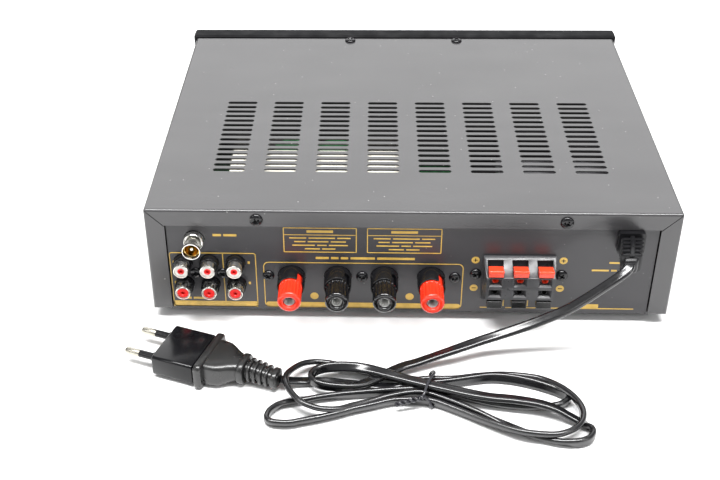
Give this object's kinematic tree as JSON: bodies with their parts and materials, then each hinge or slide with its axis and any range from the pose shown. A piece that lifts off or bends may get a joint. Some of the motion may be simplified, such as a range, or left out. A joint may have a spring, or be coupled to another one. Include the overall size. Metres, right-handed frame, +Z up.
{
  "type": "power amplifier",
  "caption": "Compact stereo amplifier with a vented steel case, phono, aerial and speaker terminals at the rear, a knobbed front and a fixed mains lead tied in a bundle.",
  "frame": {"origin": "on the surface that the feet stand on, in the middle of the amplifier's own box without its lead", "axes": "+X runs along the case's width, towards the phono sockets; +Y points out of the socket side, so the front panel faces -Y; +Z is up"},
  "size_m": [0.2916, 0.3445, 0.0731],
  "materials": {
    "case_paint": "satin black powder coat with faint dust",
    "rear_paint": "satin black paint, printed outlines",
    "front_gloss": "glossy black",
    "foot_rubber": "matt black",
    "window": "smoked acrylic",
    "knob_aluminium": "spun satin",
    "plated_metal": "bright nickel plate",
    "jack_plastic": "moulded black",
    "post_red": "moulded red",
    "post_black": "moulded black",
    "lever_red": "moulded red",
    "lever_black": "moulded black",
    "lead_pvc": "glossy black PVC",
    "tie_wire": "black coated wire",
    "laminations": "varnished laminations",
    "winding_tape": "yellow insulating tape",
    "board": "green solder mask",
    "heatsink_aluminium": "plain extrusion",
    "screw_black": "blackened"
  },
  "bodies": {
    "amplifier": {"chassis_tray": "case_paint", "rear_panel": "rear_paint", "top_cover": "case_paint", "front_panel": "front_gloss", "foot_1": "foot_rubber", "foot_2": "foot_rubber", "foot_3": "foot_rubber", "foot_4": "foot_rubber", "display_window": "window", "mic_jack": "plated_metal", "usb_port": "plated_metal", "rca_block": "jack_plastic", "rca_barrels": "plated_metal", "antenna_shell": "plated_metal", "antenna_pin": "plated_metal", "post_block": "jack_plastic", "post_stud_1": "plated_metal", "post_stud_2": "plated_metal", "post_stud_3": "plated_metal", "post_stud_4": "plated_metal", "clip_block": "jack_plastic", "cord_relief": "lead_pvc", "mains_cord": "lead_pvc", "cord_hank": "lead_pvc", "cord_tie": "tie_wire", "mains_plug": "lead_pvc", "plug_adapter": "lead_pvc", "adapter_pin_1": "plated_metal", "adapter_pin_2": "plated_metal", "transformer_core": "laminations", "transformer_coil": "winding_tape", "main_board": "board", "heatsink": "heatsink_aluminium", "control_board": "board", "cover_screw_1": "screw_black", "cover_screw_2": "screw_black", "cover_screw_3": "screw_black", "cover_screw_4": "screw_black"},
    "post_washer_1": {"post_washer_1": "plated_metal"},
    "post_cap_1": {"post_cap_1": "post_red"},
    "post_washer_2": {"post_washer_2": "plated_metal"},
    "post_cap_2": {"post_cap_2": "post_black"},
    "post_washer_3": {"post_washer_3": "plated_metal"},
    "post_cap_3": {"post_cap_3": "post_black"},
    "post_washer_4": {"post_washer_4": "plated_metal"},
    "post_cap_4": {"post_cap_4": "post_red"},
    "clip_lever_red_1": {"clip_lever_red_1": "lever_red"},
    "clip_lever_black_1": {"clip_lever_black_1": "lever_black"},
    "clip_lever_red_2": {"clip_lever_red_2": "lever_red"},
    "clip_lever_black_2": {"clip_lever_black_2": "lever_black"},
    "clip_lever_red_3": {"clip_lever_red_3": "lever_red"},
    "clip_lever_black_3": {"clip_lever_black_3": "lever_black"},
    "volume_knob": {"volume_knob": "knob_aluminium"},
    "bass_knob": {"bass_knob": "knob_aluminium"},
    "treble_knob": {"treble_knob": "knob_aluminium"},
    "mic_knob": {"mic_knob": "knob_aluminium"},
    "power_button": {"power_button": "knob_aluminium"},
    "previous_button": {"previous_button": "knob_aluminium"},
    "play_button": {"play_button": "knob_aluminium"},
    "next_button": {"next_button": "knob_aluminium"}
  },
  "joints": [
    {"name": "post_1_lift", "type": "slide", "parent": "amplifier", "child": "post_washer_1", "axis": [0, 1, 0], "range_m": [0, 0.0035]},
    {"name": "post_1_turn", "type": "hinge", "parent": "post_washer_1", "child": "post_cap_1", "pos_m": [0.0631, 0.112, 0.028], "axis": [0, 1, 0], "range_deg": [0, 1800]},
    {"name": "post_2_lift", "type": "slide", "parent": "amplifier", "child": "post_washer_2", "axis": [0, 1, 0], "range_m": [0, 0.0035]},
    {"name": "post_2_turn", "type": "hinge", "parent": "post_washer_2", "child": "post_cap_2", "pos_m": [0.0381, 0.112, 0.028], "axis": [0, 1, 0], "range_deg": [0, 1800]},
    {"name": "post_3_lift", "type": "slide", "parent": "amplifier", "child": "post_washer_3", "axis": [0, 1, 0], "range_m": [0, 0.0035]},
    {"name": "post_3_turn", "type": "hinge", "parent": "post_washer_3", "child": "post_cap_3", "pos_m": [0.0131, 0.112, 0.028], "axis": [0, 1, 0], "range_deg": [0, 1800]},
    {"name": "post_4_lift", "type": "slide", "parent": "amplifier", "child": "post_washer_4", "axis": [0, 1, 0], "range_m": [0, 0.0035]},
    {"name": "post_4_turn", "type": "hinge", "parent": "post_washer_4", "child": "post_cap_4", "pos_m": [-0.0119, 0.112, 0.028], "axis": [0, 1, 0], "range_deg": [0, 1800]},
    {"name": "clip_red_1_press", "type": "hinge", "parent": "amplifier", "child": "clip_lever_red_1", "pos_m": [-0.0452, 0.1202, 0.0384], "axis": [1, 0, 0], "range_deg": [0, 18], "stiffness_Nm_per_rad": 0.01},
    {"name": "clip_black_1_press", "type": "hinge", "parent": "amplifier", "child": "clip_lever_black_1", "pos_m": [-0.0452, 0.1202, 0.0216], "axis": [-1, 0, 0], "range_deg": [0, 18], "stiffness_Nm_per_rad": 0.01},
    {"name": "clip_red_2_press", "type": "hinge", "parent": "amplifier", "child": "clip_lever_red_2", "pos_m": [-0.0582, 0.1202, 0.0384], "axis": [1, 0, 0], "range_deg": [0, 18], "stiffness_Nm_per_rad": 0.01},
    {"name": "clip_black_2_press", "type": "hinge", "parent": "amplifier", "child": "clip_lever_black_2", "pos_m": [-0.0582, 0.1202, 0.0216], "axis": [-1, 0, 0], "range_deg": [0, 18], "stiffness_Nm_per_rad": 0.01},
    {"name": "clip_red_3_press", "type": "hinge", "parent": "amplifier", "child": "clip_lever_red_3", "pos_m": [-0.0712, 0.1202, 0.0384], "axis": [1, 0, 0], "range_deg": [0, 18], "stiffness_Nm_per_rad": 0.01},
    {"name": "clip_black_3_press", "type": "hinge", "parent": "amplifier", "child": "clip_lever_black_3", "pos_m": [-0.0712, 0.1202, 0.0216], "axis": [-1, 0, 0], "range_deg": [0, 18], "stiffness_Nm_per_rad": 0.01},
    {"name": "volume_knob_turn", "type": "hinge", "parent": "amplifier", "child": "volume_knob", "pos_m": [0.106, -0.116, 0.039], "axis": [0, 1, 0], "range_deg": [-150, 150]},
    {"name": "bass_knob_turn", "type": "hinge", "parent": "amplifier", "child": "bass_knob", "pos_m": [0.03, -0.116, 0.047], "axis": [0, 1, 0], "range_deg": [-150, 150]},
    {"name": "treble_knob_turn", "type": "hinge", "parent": "amplifier", "child": "treble_knob", "pos_m": [0.06, -0.116, 0.047], "axis": [0, 1, 0], "range_deg": [-150, 150]},
    {"name": "mic_knob_turn", "type": "hinge", "parent": "amplifier", "child": "mic_knob", "pos_m": [0.06, -0.116, 0.0215], "axis": [0, 1, 0], "range_deg": [-150, 150]},
    {"name": "power_press", "type": "slide", "parent": "amplifier", "child": "power_button", "axis": [0, 1, 0], "range_m": [0, 0.0025], "stiffness_N_per_m": 300},
    {"name": "previous_press", "type": "slide", "parent": "amplifier", "child": "previous_button", "axis": [0, 1, 0], "range_m": [0, 0.0008], "stiffness_N_per_m": 300},
    {"name": "play_press", "type": "slide", "parent": "amplifier", "child": "play_button", "axis": [0, 1, 0], "range_m": [0, 0.0008], "stiffness_N_per_m": 300},
    {"name": "next_press", "type": "slide", "parent": "amplifier", "child": "next_button", "axis": [0, 1, 0], "range_m": [0, 0.0008], "stiffness_N_per_m": 300}
  ],
  "couplings": [
    {"joint": "post_1_turn", "follows": "post_1_lift", "rad_per_m": 8975},
    {"joint": "post_2_turn", "follows": "post_2_lift", "rad_per_m": 8975},
    {"joint": "post_3_turn", "follows": "post_3_lift", "rad_per_m": 8975},
    {"joint": "post_4_turn", "follows": "post_4_lift", "rad_per_m": 8975}
  ]
}
